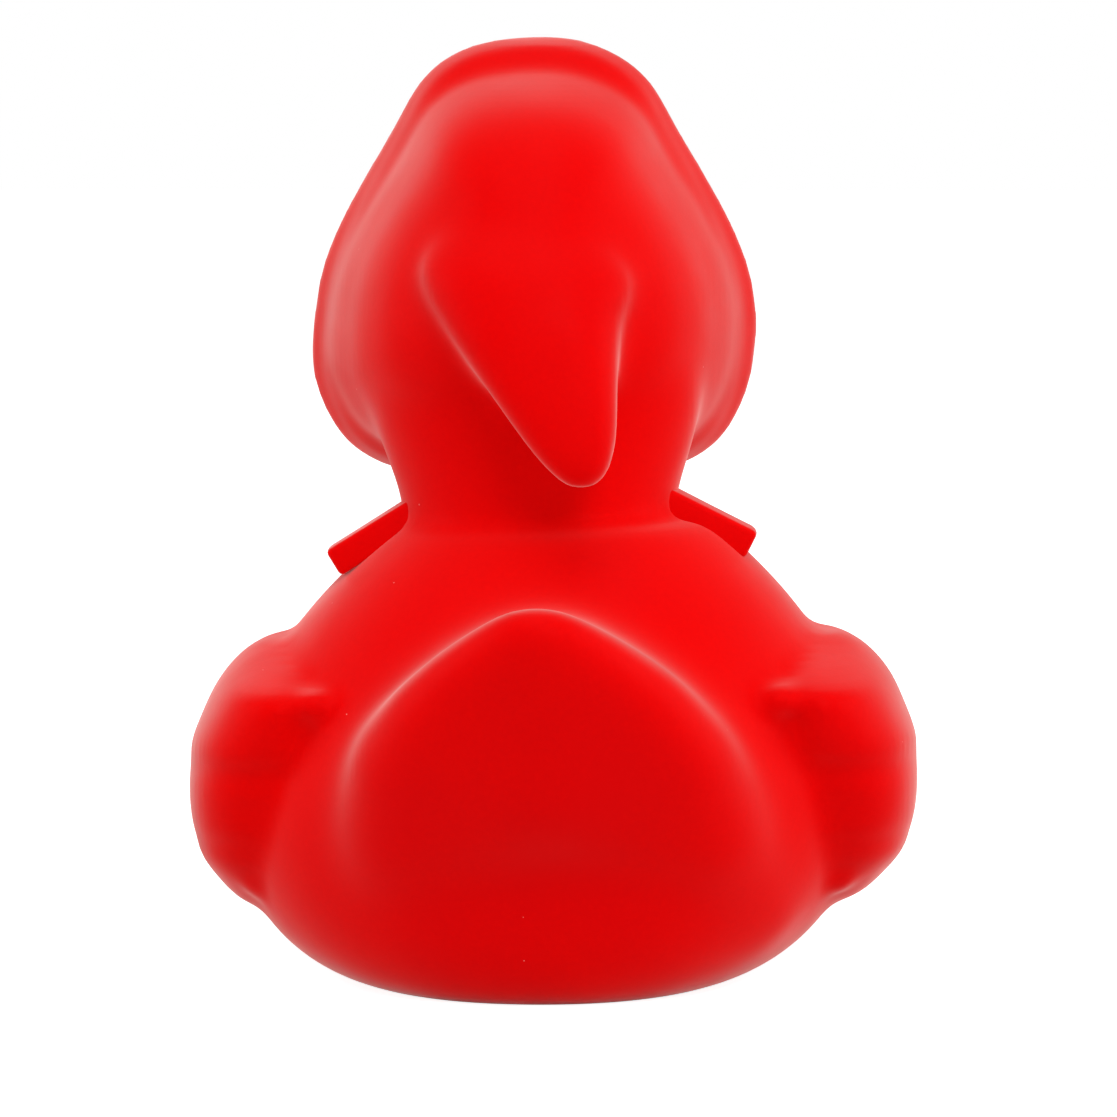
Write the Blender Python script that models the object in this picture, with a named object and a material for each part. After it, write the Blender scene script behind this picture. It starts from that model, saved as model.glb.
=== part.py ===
"""A hooded rubber duck, moulded in one piece of soft vinyl.

The duck faces -Y and stands on a flat oval under its belly, which lies in the plane z = 0.
Its soft forms are fused and filleted: belly, tail, wings, hood, and the hood's folded peak.
Its crisp forms are joined to them afterwards, so that their edges stay sharp: collar, beak and eyes.
All lengths are in metres, and heights are measured from the ground.
"""

import math

import bmesh
import bpy
from mathutils import Matrix, Vector

# Fineness of the mesh
FUSE_VOXEL = 0.0010
SOFT_TRIANGLES = 8200
RING_STEPS = 64
CURVE_STEPS = 6

# Base: the flat oval that the duck stands on
BASE_HALF_WIDTH = 0.0174
BASE_FRONT = 0.0230
BASE_BACK = 0.0230
BASE_SINK = 0.0004

# Belly: the widest ring of the body
BELLY_HALF_WIDTH = 0.0354
BELLY_FRONT = 0.0385
BELLY_BACK = 0.0312
BELLY_HEIGHT = 0.0190
BELLY_ROUNDNESS = 1.95

# Shoulders: from the belly up to the foot of the neck
SHOULDER_HALF_WIDTH = 0.0165
SHOULDER_FRONT = 0.0165
SHOULDER_BACK = 0.0115
SHOULDER_HEIGHT = 0.0505
SHOULDER_FALL = 2.1
BODY_LEAN = -0.035
BODY_SHIFT = 0.0010

# Neck: the hood's skirt, which widens upwards into the hood and closes inside it
NECK_HALF_WIDTH = 0.0150
NECK_SHIFT = -0.0009
NECK_FRONT = 0.0148
NECK_BACK = 0.0112
NECK_FLARE = 0.0034
NECK_TOP = 0.0670
NECK_ROOT = 0.0440
NECK_CAP = 0.0190

# Tail: a bell-shaped face that rises from the rump to a blunt tip
TAIL_MIDDLE = 0.0008
TAIL_BACK = 0.0420
TAIL_HEIGHT = 0.0449
TAIL_TIP_RADIUS = 0.0026
TAIL_TIP_HALF_WIDTH = 0.0052
TAIL_RIM_RADIUS = 0.0032
TAIL_FLANK_RADIUS = 0.0050
TAIL_FOOT_RADIUS = 0.0100
TAIL_FILLET = 0.0060

# Hood: its outline from behind, and how it narrows from the rim to the back
HEAD_SHIFT = 0.0021
HOOD_TOP = 0.1042
HOOD_APEX = -0.0007
HOOD_HALF_WIDTH = 0.0258
HOOD_WIDEST = 0.0722
HOOD_BOTTOM = 0.0530
HOOD_CENTRE = 0.0745
JOWL = 0.0010
RIM_FRONT = -0.0210
RIM_THICKNESS = 0.0036
RIM_VALLEY = -0.0140
RIM_FLARE = 0.0022
RIM_DROP = 0.0044
RIM_BOW = 0.0025
HOOD_BACK = 0.0178
DOME_START = -0.0030
DOME_FALL = 0.0058

# Crown: the ring where the hood's flanks bend into its rounded back
CROWN_HEIGHT = 0.0755
CROWN_HALF_WIDTH = 0.0114
CROWN_REACH = 0.0125
CROWN_RISE = 0.0126
CROWN_FILLET = 0.0012

# Peak of the hood: it rises out of the back and hangs down it, towards the duck's right
PEAK_ROOT_HEIGHT = 0.0800
PEAK_TIP_HEIGHT = 0.0546
PEAK_HALF_WIDTH = 0.0122
PEAK_TIP_HALF_WIDTH = 0.0048
PEAK_TIP_ROUNDING = 0.0038
PEAK_REACH = 0.0229
PEAK_ROOT_REACH = 0.0180
PEAK_THICKNESS = 0.0132
PEAK_TIP_THICKNESS = 0.0078
PEAK_LEAN = -0.0060
PEAK_SINK = 0.0035
PEAK_FILLET = 0.0010
BUMP_RADIUS = 0.0030

# Wings: the lobe of each, and the ends of its three feathers
LEFT_WING_REACH = 0.0399
LEFT_WING_RISE = 0.0
LEFT_WING_FOOT = 0.0382
RIGHT_WING_REACH = 0.0406
RIGHT_WING_RISE = 0.0008
RIGHT_WING_FOOT = 0.0386
WING_HEIGHT = 0.0235
WING_ROOT = 0.0240
WING_FRONT = -0.0080
WING_LENGTH_RADIUS = 0.0118
WING_FOLD = 0.0017
UPPER_FEATHER = (0.0250, 0.0190, 0.0316)
MIDDLE_FEATHER = (0.0305, 0.0154, 0.0214)
LOWER_FEATHER = (0.0318, 0.0110, 0.0138)
FEATHER_TIP_RADIUS = 0.0024
FEATHER_FILLET = 0.0008

# Face: a ball behind the hood's opening
OPENING_INSET = 0.0042
OPENING_DEPTH = 0.0050
FACE_FRONT = -0.0195
FACE_RADIUS = 0.0190
FACE_DEPTH = 0.0170
FACE_HEIGHT = 0.0715

# Beak
BEAK_LENGTH = 0.0125
BEAK_HALF_WIDTH = 0.0092
BEAK_HEIGHT = 0.0665
BEAK_THICKNESS = 0.0040

# Eyes
EYE_SPREAD = 0.0080
EYE_HEIGHT = 0.0770
EYE_HALF_WIDTH = 0.0024
EYE_HALF_HEIGHT = 0.0034
EYE_DEPTH = 0.0020

# Collar: a flat board round the front of the neck, whose cut ends show from behind
COLLAR_REACH = 0.0234
COLLAR_FRONT = 0.0284
COLLAR_INNER = 0.0122
COLLAR_THICKNESS = 0.0032
COLLAR_SLOPE = 29.0
COLLAR_TILT = 2.6
COLLAR_HEIGHT = 0.0476
COLLAR_SHIFT = -0.0014
COLLAR_OUTER_END = 6.0
COLLAR_INNER_END = 22.0


def clear_scene():
    for thing in list(bpy.data.objects):
        bpy.data.objects.remove(thing, do_unlink=True)


def object_from(name, bm):
    bmesh.ops.recalc_face_normals(bm, faces=bm.faces)
    mesh = bpy.data.meshes.new(name)
    bm.to_mesh(mesh)
    bm.free()
    made = bpy.data.objects.new(name, mesh)
    bpy.context.scene.collection.objects.link(made)
    return made


def lerp(start, end, t):
    return start + (end - start) * t


def spline(points, steps, closed=False):
    """A Catmull-Rom curve through the points, with so many steps between neighbours."""
    count = len(points)
    spans = count if closed else count - 1
    curve = []
    for i in range(spans):
        near = []
        for k in (-1, 0, 1, 2):
            at = (i + k) % count if closed else min(max(i + k, 0), count - 1)
            near.append(Vector(points[at]))
        before, start, end, after = near
        for s in range(steps):
            t = s / steps
            bend = (end - before) * t
            bend += (2 * before - 5 * start + 4 * end - after) * t**2
            bend += (3 * start - before - 3 * end + after) * t**3
            curve.append(start + 0.5 * bend)
    if not closed:
        curve.append(Vector(points[-1]))
    return curve


def loft(name, rings):
    """A closed skin over rings that all have as many points."""
    bm = bmesh.new()
    loops = [[bm.verts.new(p) for p in ring] for ring in rings]
    count = len(loops[0])
    for low, high in zip(loops, loops[1:]):
        for i in range(count):
            j = (i + 1) % count
            bm.faces.new((low[i], low[j], high[j], high[i]))
    bm.faces.new(loops[0])
    bm.faces.new(loops[-1])
    return object_from(name, bm)


def ball(centre, radii):
    """The place and the three radii of an ellipsoid, as a matrix."""
    return Matrix.Translation(centre) @ Matrix.Diagonal((*radii, 1))


def hull(name, balls, fineness=4):
    """The tight skin round one or several ellipsoids."""
    cloud = bmesh.new()
    for place in balls:
        bmesh.ops.create_icosphere(cloud, subdivisions=fineness, radius=1, matrix=place)
    bm = bmesh.new()
    points = [bm.verts.new(vert.co) for vert in cloud.verts]
    cloud.free()
    bmesh.ops.convex_hull(bm, input=points)
    spare = [vert for vert in bm.verts if not vert.link_faces]
    bmesh.ops.delete(bm, geom=spare, context="VERTS")
    return object_from(name, bm)


def joined(name, parts):
    """One object with the meshes of all the parts, whose shapes may cross."""
    bm = bmesh.new()
    for part in parts:
        bm.from_mesh(part.data)
        bpy.data.objects.remove(part, do_unlink=True)
    return object_from(name, bm)


def settled(made):
    """The object with its modifiers applied."""
    graph = bpy.context.evaluated_depsgraph_get()
    mesh = bpy.data.meshes.new_from_object(made.evaluated_get(graph))
    made.modifiers.clear()
    made.data = mesh
    return made


def fused(name, parts, fillet):
    """The parts grown into one skin, with a round fillet of that radius along each inner corner."""
    made = joined(name, parts)
    for strength in (0, fillet, -fillet):
        if strength:
            swell = made.modifiers.new("swell", "DISPLACE")
            swell.strength = strength
            swell.mid_level = 0
        skin = made.modifiers.new("skin", "REMESH")
        skin.mode = "VOXEL"
        skin.voxel_size = FUSE_VOXEL
        ease = made.modifiers.new("ease", "SMOOTH")
        ease.iterations = 2
        settled(made)
    return made


def combined(made, tool, operation):
    """The object after a boolean with the tool, which is used up."""
    cut = made.modifiers.new(operation, "BOOLEAN")
    cut.operation = operation
    cut.solver = "EXACT"
    cut.object = tool
    settled(made)
    bpy.data.objects.remove(tool, do_unlink=True)
    return made


def moved(made, offset):
    made.data.transform(Matrix.Translation(offset))
    return made


def oval(height, half_width, front, back, middle=0.0, square=2.2):
    """A level ring, an oval whose reach to the front and to the back are set apart."""
    ring = []
    for i in range(RING_STEPS):
        angle = 2 * math.pi * i / RING_STEPS
        c, s = math.cos(angle), math.sin(angle)
        x = math.copysign(abs(c) ** (2 / square), c) * half_width
        y = math.copysign(abs(s) ** (2 / square), s) * (back if s > 0 else front)
        ring.append(Vector((middle + x, y, height)))
    return ring


def make_torso():
    """Rings that swell from the base to the belly and fall away to the foot of the neck."""
    base = Vector((BASE_HALF_WIDTH, BASE_FRONT, BASE_BACK))
    belly = Vector((BELLY_HALF_WIDTH, BELLY_FRONT, BELLY_BACK))
    shoulder = Vector((SHOULDER_HALF_WIDTH, SHOULDER_FRONT, SHOULDER_BACK))
    rings = []
    for i in range(16):
        t = (i / 16) ** 1.6
        swell = (1 - (1 - t) ** BELLY_ROUNDNESS) ** (1 / BELLY_ROUNDNESS)
        rings.append(oval(t * BELLY_HEIGHT, *lerp(base, belly, swell)))
    for i in range(21):
        t = i / 20
        wide = lerp(belly, shoulder, t**SHOULDER_FALL)
        wide.z = lerp(belly.z, shoulder.z, t ** (SHOULDER_FALL - 0.1))
        rings.append(oval(lerp(BELLY_HEIGHT, SHOULDER_HEIGHT, t), *wide))
    return loft("torso", rings)


def make_neck():
    """The hood's skirt round the neck, from inside the shoulders up into the head."""
    rings = [oval(NECK_ROOT, NECK_HALF_WIDTH, NECK_FRONT, NECK_BACK, NECK_SHIFT)]
    for i in range(13):
        t = i / 12
        wide = NECK_HALF_WIDTH + NECK_FLARE * math.sin(t * math.pi / 2) ** 1.5
        back = NECK_BACK + NECK_FLARE * t**2 / 2
        rings.append(oval(lerp(SHOULDER_HEIGHT, NECK_TOP, t), wide, NECK_FRONT, back, NECK_SHIFT * (1 - t)))
    for degrees in (15, 30, 45, 60, 75):
        c, s = math.cos(math.radians(degrees)), math.sin(math.radians(degrees))
        rings.append(oval(NECK_TOP + NECK_CAP * s, wide * c, NECK_FRONT * c, back * c))
    return loft("neck", rings)


def make_tail():
    """A hull over the tip, the rim that falls from it on both sides, the flanks and the foot."""
    tip_back = TAIL_BACK - TAIL_TIP_RADIUS
    tip_height = TAIL_HEIGHT - TAIL_TIP_RADIUS
    rim, flank, foot = TAIL_RIM_RADIUS, TAIL_FLANK_RADIUS, TAIL_FOOT_RADIUS
    balls = [
        ball((TAIL_MIDDLE, tip_back, tip_height), (TAIL_TIP_HALF_WIDTH, TAIL_TIP_RADIUS, TAIL_TIP_RADIUS)),
        ball((0, 0.0130, 0.0300), (0.0140, 0.0080, 0.0100)),
    ]
    falls = [
        (0.0084, 0.0030, 0.0048, (rim, rim, rim)),
        (0.0128, 0.0055, 0.0092, (rim, rim, rim)),
        (0.0164, 0.0085, 0.0140, (rim + 0.0004, rim + 0.0004, rim + 0.0004)),
        (0.0190, 0.0130, 0.0205, (flank, flank + 0.0015, flank + 0.0010)),
        (0.0165, 0.0215, 0.0290, (foot, foot, foot - 0.0015)),
    ]
    for side in (-1, 1):
        for out, forward, down, radii in falls:
            balls.append(ball((TAIL_MIDDLE + side * out, tip_back - forward, tip_height - down), radii))
    return hull("tail", balls)


def leaned(made):
    """The body's slight lean to the duck's right."""
    made.data.transform(Matrix(((1, 0, BODY_LEAN, BODY_SHIFT), (0, 1, 0, 0), (0, 0, 1, 0), (0, 0, 0, 1))))
    return made


def make_wing(side, reach, rise, foot_reach):
    """A wing's lobe, blunt behind, with three feathers that end there, one under the other."""
    sections = [
        # height from the wing's middle, how far in from the reach, place of the blunt end
        (-0.0168, 0.0096, 0.0030),
        (-0.0155, 0.0066, 0.0066),
        (-0.0140, 0.0046, 0.0094),
        (-0.0109, 0.0020, 0.0130),
        (-0.0076, 0.0005, 0.0154),
        (-0.0030, 0.0000, 0.0176),
        (0.0010, 0.0002, 0.0192),
        (0.0041, 0.0010, 0.0202),
        (0.0074, 0.0024, 0.0208),
        (0.0091, 0.0034, 0.0200),
        (0.0108, 0.0044, 0.0160),
        (0.0124, 0.0060, 0.0096),
        (0.0137, 0.0084, 0.0040),
    ]
    low = sections[0][0]
    rings = []
    for up, inset, end in spline(sections, 3):
        tuck = (reach - foot_reach) / WING_FOLD if up < 0 else 1
        outer = reach - inset * tuck
        half = (outer - WING_ROOT) / 2
        share = math.sin(math.pi * lerp(0.15, 0.85, (up - low) / (sections[-1][0] - low)))
        front = (WING_LENGTH_RADIUS - WING_FRONT) * share
        rings.append(oval(WING_HEIGHT + rise + up, half, front, end, side * (WING_ROOT + half), square=2.7))
    tip = FEATHER_TIP_RADIUS
    feathers = []
    for name, (x, y, z), tall in (
        ("upper_feather", UPPER_FEATHER, 0.8),
        ("middle_feather", MIDDLE_FEATHER, 1.6),
        ("lower_feather", LOWER_FEATHER, 1.7),
    ):
        root = ball((side * 0.0310, 0.0, z + rise - 0.0010), (0.0050, 0.0080, 0.0040))
        feathers.append(hull(name, [root, ball((side * x, y, z + rise), (tip, tip, tip * tall))]))
    return [loft("wing_lobe", rings), *feathers]


def hood_outline():
    """The rim seen from behind: half the outline, from the top to the chin, and its mirror image."""
    upper = [(0.0188, 0.0010), (0.0133, 0.0046), (0.0091, 0.0112), (0.0043, 0.0192), (0.0012, 0.0258)]
    half = [(HOOD_HALF_WIDTH - inset, HOOD_TOP - drop) for inset, drop in upper]
    half.append((HOOD_HALF_WIDTH, HOOD_WIDEST))
    jowl = [(0.0003, 0.0060), (0.0018, 0.0110), (0.0051, 0.0156), (0.0118, 0.0184)]
    left = half + [(HOOD_HALF_WIDTH + JOWL - inset, HOOD_WIDEST - drop) for inset, drop in jowl]
    right = half + [(HOOD_HALF_WIDTH - inset, HOOD_WIDEST - drop) for inset, drop in jowl]
    points = [(HOOD_APEX, HOOD_TOP), *left, (0, HOOD_BOTTOM), *[(-x, z) for x, z in reversed(right)]]
    return spline([Vector(p) for p in points], CURVE_STEPS, closed=True)


def outline_ring(outline, y, wide, tall, centre=HOOD_CENTRE):
    """The hood's outline at one station, scaled sideways and upwards about its middle."""
    half_height = (HOOD_TOP - HOOD_BOTTOM) / 2
    ring = []
    for x, z in outline:
        rise = (z - HOOD_CENTRE) * tall
        ring.append(Vector((x * wide, y + RIM_BOW * (rise / half_height) ** 2, centre + rise)))
    return ring


def make_hood():
    """The rim's rolled edge, the valley behind it and the dome, with the opening cut in front."""
    outline = hood_outline()
    rise = HOOD_TOP - HOOD_CENTRE
    back_of_rim = RIM_FRONT + RIM_THICKNESS
    half_way = (DOME_START + CROWN_REACH) / 2
    insets = [
        (RIM_FRONT, 0.0024, 0.0024),
        (RIM_FRONT + 0.0010, 0.0009, 0.0009),
        (RIM_FRONT + 0.0024, 0.0, 0.0),
        (back_of_rim, 0.0001, 0.0002),
        (lerp(back_of_rim, RIM_VALLEY, 0.35), RIM_FLARE * 0.35, RIM_DROP * 0.32),
        (lerp(back_of_rim, RIM_VALLEY, 0.70), RIM_FLARE * 0.85, RIM_DROP * 0.82),
        (RIM_VALLEY, RIM_FLARE, RIM_DROP),
        (lerp(RIM_VALLEY, DOME_START, 0.5), RIM_FLARE + 0.09 * DOME_FALL, RIM_DROP + 0.15 * DOME_FALL),
        (DOME_START, RIM_FLARE + 0.33 * DOME_FALL, RIM_DROP + 0.38 * DOME_FALL),
        (half_way, RIM_FLARE + 0.85 * DOME_FALL, RIM_DROP + 0.88 * DOME_FALL),
    ]
    stations = [(y, 1 - side / HOOD_HALF_WIDTH, 1 - top / rise, HOOD_CENTRE) for y, side, top in insets]
    wide, tall = CROWN_HALF_WIDTH / HOOD_HALF_WIDTH, CROWN_RISE / rise
    for along, share in ((-0.35, 1.31), (0.0, 1.0), (0.45, 0.66), (0.80, 0.36), (1.0, 0.12)):
        stations.append((lerp(CROWN_REACH, HOOD_BACK, along), share * wide, share * tall, CROWN_HEIGHT))
    shell = loft("hood", [outline_ring(outline, *ring) for ring in spline(stations, 2)])
    near, far = OPENING_INSET - 0.0010, OPENING_INSET + 0.0010
    mouth = outline_ring(outline, RIM_FRONT - 0.0040, 1 - near / HOOD_HALF_WIDTH, 1 - near / rise)
    floor = outline_ring(outline, RIM_FRONT + OPENING_DEPTH, 1 - far / HOOD_HALF_WIDTH, 1 - far / rise)
    return combined(shell, loft("opening", [mouth, floor]), "DIFFERENCE")


def peak_ring(height, middle, half_width, back, thickness):
    """A level ring of the peak, nearly a rounded rectangle."""
    centre = back - thickness / 2
    ring = oval(height, half_width, thickness / 2, thickness / 2, middle, square=3.0)
    return [point + Vector((0, centre, 0)) for point in ring]


def make_peak():
    """The cone that rises out of the hood's back: rounded behind, with a round tip that hangs free."""
    rings = []
    for up, share in ((0.0070, 0.58), (0.0040, 0.83)):
        back = PEAK_ROOT_REACH - PEAK_SINK * (up / 0.0040) ** 1.4
        rings.append(peak_ring(PEAK_ROOT_HEIGHT + up, 0.0008, PEAK_HALF_WIDTH * share, back, PEAK_THICKNESS * (0.1 + share)))
    cap_height = PEAK_TIP_HEIGHT + PEAK_TIP_ROUNDING
    length = PEAK_ROOT_HEIGHT - PEAK_TIP_HEIGHT
    for i in range(11):
        s = i / 10
        height = lerp(PEAK_ROOT_HEIGHT, cap_height, s)
        t = (PEAK_ROOT_HEIGHT - height) / length
        middle = 0.0008 * (1 - t) + PEAK_LEAN * t**1.6
        half_width = lerp(PEAK_HALF_WIDTH, PEAK_TIP_HALF_WIDTH, s**1.15)
        back = PEAK_REACH - (PEAK_REACH - PEAK_ROOT_REACH) * (1 - t) ** 2.4
        rings.append(peak_ring(height, middle, half_width, back, lerp(PEAK_THICKNESS, PEAK_TIP_THICKNESS, s)))
    for degrees in (25, 45, 62, 78):
        c, s = math.cos(math.radians(degrees)), math.sin(math.radians(degrees))
        height = cap_height - PEAK_TIP_ROUNDING * s
        sink = PEAK_TIP_THICKNESS * (1 - c) * 0.3
        thickness = PEAK_TIP_THICKNESS * c
        lean = lerp(middle, PEAK_LEAN, s)
        rings.append(peak_ring(height, lean, PEAK_TIP_HALF_WIDTH * c, PEAK_REACH - sink, thickness))
    return loft("peak", rings)


def make_bump():
    """The swelling at the root of the peak, on the duck's right."""
    wide, long = BUMP_RADIUS * 0.7, BUMP_RADIUS * 1.2
    place = (1.8 * wide / 2 - PEAK_HALF_WIDTH, PEAK_ROOT_REACH - 0.9 * BUMP_RADIUS, PEAK_ROOT_HEIGHT - BUMP_RADIUS)
    return hull("bump", [ball(place, (wide, BUMP_RADIUS, long))])


def make_face():
    place = (0, FACE_FRONT + FACE_DEPTH, FACE_HEIGHT)
    return hull("face", [ball(place, (FACE_RADIUS, FACE_DEPTH, FACE_RADIUS))])


def make_beak():
    """The upper and the lower bill, a little apart."""
    front = FACE_FRONT - BEAK_LENGTH
    wide, thick = BEAK_HALF_WIDTH, BEAK_THICKNESS
    upper = [
        ball((0, FACE_FRONT + 0.0030, BEAK_HEIGHT + 0.3 * thick), (wide, 0.0040, thick)),
        ball((0, lerp(FACE_FRONT, front, 0.45), BEAK_HEIGHT + 0.15 * thick), (wide - 0.0008, 0.0040, 0.65 * thick)),
        ball((0, front + 0.0030, BEAK_HEIGHT + 0.2 * thick), (wide - 0.0022, 0.0030, 0.4 * thick)),
    ]
    lower = [
        ball((0, FACE_FRONT + 0.0030, BEAK_HEIGHT - 0.9 * thick), (wide - 0.0020, 0.0035, 0.65 * thick)),
        ball((0, front + 0.0060, BEAK_HEIGHT - 0.6 * thick), (wide - 0.0034, 0.0030, 0.38 * thick)),
    ]
    return [hull("upper_bill", upper, fineness=3), hull("lower_bill", lower, fineness=3)]


def make_eye(side):
    """An oval button whose front stands a little proud of the face."""
    across = EYE_SPREAD / FACE_RADIUS
    up = (EYE_HEIGHT - FACE_HEIGHT) / FACE_RADIUS
    fall = FACE_DEPTH * (1 - math.sqrt(max(0.1, 1 - across**2 - up**2)))
    place = (side * EYE_SPREAD, FACE_FRONT + fall + 0.5 * EYE_DEPTH, EYE_HEIGHT)
    return hull("eye", [ball(place, (EYE_HALF_WIDTH, EYE_DEPTH, EYE_HALF_HEIGHT))], fineness=3)


def make_collar():
    """The board slopes down from the neck on all sides and ends at two slanting cuts."""
    slope = math.radians(COLLAR_SLOPE)
    steps = 28
    rings = []
    for i in range(steps + 1):
        places = []
        for wide, deep, end in (
            (COLLAR_INNER, COLLAR_INNER - 0.0002, COLLAR_INNER_END),
            (COLLAR_REACH, COLLAR_FRONT, COLLAR_OUTER_END),
        ):
            angle = math.radians(lerp(180 - end, 360 + end, i / steps))
            places.append(Vector((wide * math.cos(angle), deep * math.sin(angle), 0)))
        inner, outer = places
        out = (outer - inner).normalized()
        inner.z = COLLAR_HEIGHT + math.tan(slope) * (outer - inner).length
        outer.z = COLLAR_HEIGHT
        down = Vector((-out.x * math.sin(slope), -out.y * math.sin(slope), -math.cos(slope))) * COLLAR_THICKNESS
        rings.append([inner, outer, outer + down, inner + down])
    collar = loft("collar", rings)
    collar.data.transform(Matrix.Rotation(math.radians(COLLAR_TILT), 4, "Y"))
    return moved(collar, (COLLAR_SHIFT, 0, 0))


def thinned(made, triangles):
    """Fewer triangles, spent where the surface bends."""
    made.data.calc_loop_triangles()
    thin = made.modifiers.new("thin", "DECIMATE")
    thin.ratio = min(1, triangles / len(made.data.loop_triangles))
    return settled(made)


def cut_flat(made, height):
    """Cuts away what lies below the height, closes the cut with one flat face and sets it down."""
    bm = bmesh.new()
    bm.from_mesh(made.data)
    cut = bmesh.ops.bisect_plane(
        bm,
        geom=bm.verts[:] + bm.edges[:] + bm.faces[:],
        dist=1e-6,
        plane_co=(0, 0, height),
        plane_no=(0, 0, -1),
        clear_outer=True,
    )
    rim = [part for part in cut["geom_cut"] if isinstance(part, bmesh.types.BMEdge)]
    bmesh.ops.holes_fill(bm, edges=rim)
    bmesh.ops.translate(bm, verts=bm.verts, vec=(0, 0, -height))
    bm.to_mesh(made.data)
    bm.free()


def red_vinyl():
    """The duck's one material: matt red soft vinyl."""
    vinyl = bpy.data.materials.new("red_vinyl")
    vinyl.use_nodes = True
    shader = vinyl.node_tree.nodes["Principled BSDF"]
    shader.inputs["Base Color"].default_value = (0.82, 0.002, 0.002, 1)
    shader.inputs["Roughness"].default_value = 0.48
    shader.inputs["Metallic"].default_value = 0
    return vinyl


def main():
    clear_scene()
    body = fused("body", [leaned(make_torso()), make_tail()], TAIL_FILLET)
    hood = fused("hood", [make_hood(), make_neck()], CROWN_FILLET)
    head = fused("head", [hood, make_peak(), make_bump(), make_face()], PEAK_FILLET)
    to_head = (HEAD_SHIFT, 0, 0)
    left_wing = make_wing(1, LEFT_WING_REACH, LEFT_WING_RISE, LEFT_WING_FOOT)
    right_wing = make_wing(-1, RIGHT_WING_REACH, RIGHT_WING_RISE, RIGHT_WING_FOOT)
    duck = fused("duck", [body, moved(head, to_head), *left_wing, *right_wing], FEATHER_FILLET)
    thinned(duck, SOFT_TRIANGLES)
    cut_flat(duck, BASE_SINK)
    crisp = [moved(part, to_head) for part in [*make_beak(), make_eye(-1), make_eye(1)]]
    for part in [make_collar(), *crisp]:
        combined(duck, part, "UNION")
    duck.data.shade_smooth()
    duck.data.set_sharp_from_angle(angle=math.radians(50))
    duck.data.materials.append(red_vinyl())


main()
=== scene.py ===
"""The looks of a hooded rubber duck: one soft red vinyl moulding on a pale studio floor.

The duck faces -Y and stands on z = 0, and all lengths are in metres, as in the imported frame.
Its soft forms are built from balls and rings, fused into one skin and filleted.
The crisp forms are pieces of their own: the collar, the face, the bill and the eyes.
"""

import logging
import math
from collections.abc import Iterator, Sequence
from contextlib import contextmanager
from dataclasses import dataclass, field
from enum import Enum

import bmesh
import bpy
from mathutils import Matrix, Vector

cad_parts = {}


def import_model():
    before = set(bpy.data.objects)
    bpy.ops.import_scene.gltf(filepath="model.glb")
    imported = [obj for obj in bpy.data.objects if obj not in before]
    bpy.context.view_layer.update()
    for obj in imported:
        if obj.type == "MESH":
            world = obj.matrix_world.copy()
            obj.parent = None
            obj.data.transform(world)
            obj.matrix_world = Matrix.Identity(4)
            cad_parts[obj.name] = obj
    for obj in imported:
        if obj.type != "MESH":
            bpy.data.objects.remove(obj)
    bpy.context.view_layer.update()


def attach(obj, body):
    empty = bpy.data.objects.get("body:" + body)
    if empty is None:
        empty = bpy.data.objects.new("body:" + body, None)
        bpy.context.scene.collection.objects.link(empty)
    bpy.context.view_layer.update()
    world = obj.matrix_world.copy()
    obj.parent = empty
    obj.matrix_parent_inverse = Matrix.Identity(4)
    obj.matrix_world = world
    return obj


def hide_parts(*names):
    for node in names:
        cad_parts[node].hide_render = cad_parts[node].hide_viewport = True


LOG = logging.getLogger("duck")
Point = tuple[float, float, float]
Colour = tuple[float, float, float]
Rows = tuple[tuple[float, ...], ...]
Object = bpy.types.Object
Socket = bpy.types.NodeSocket

ROOT_BODY = "root"
CAD_NODE = "duck"
FLOAT = "NodeSocketFloat"
COLOUR = "NodeSocketColor"


# ---- the maker's bench


@dataclass(frozen=True)
class Ball:
    """An ellipsoid with its centre and its three radii."""

    centre: Point
    radii: Point
    fineness: int = 4


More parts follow.
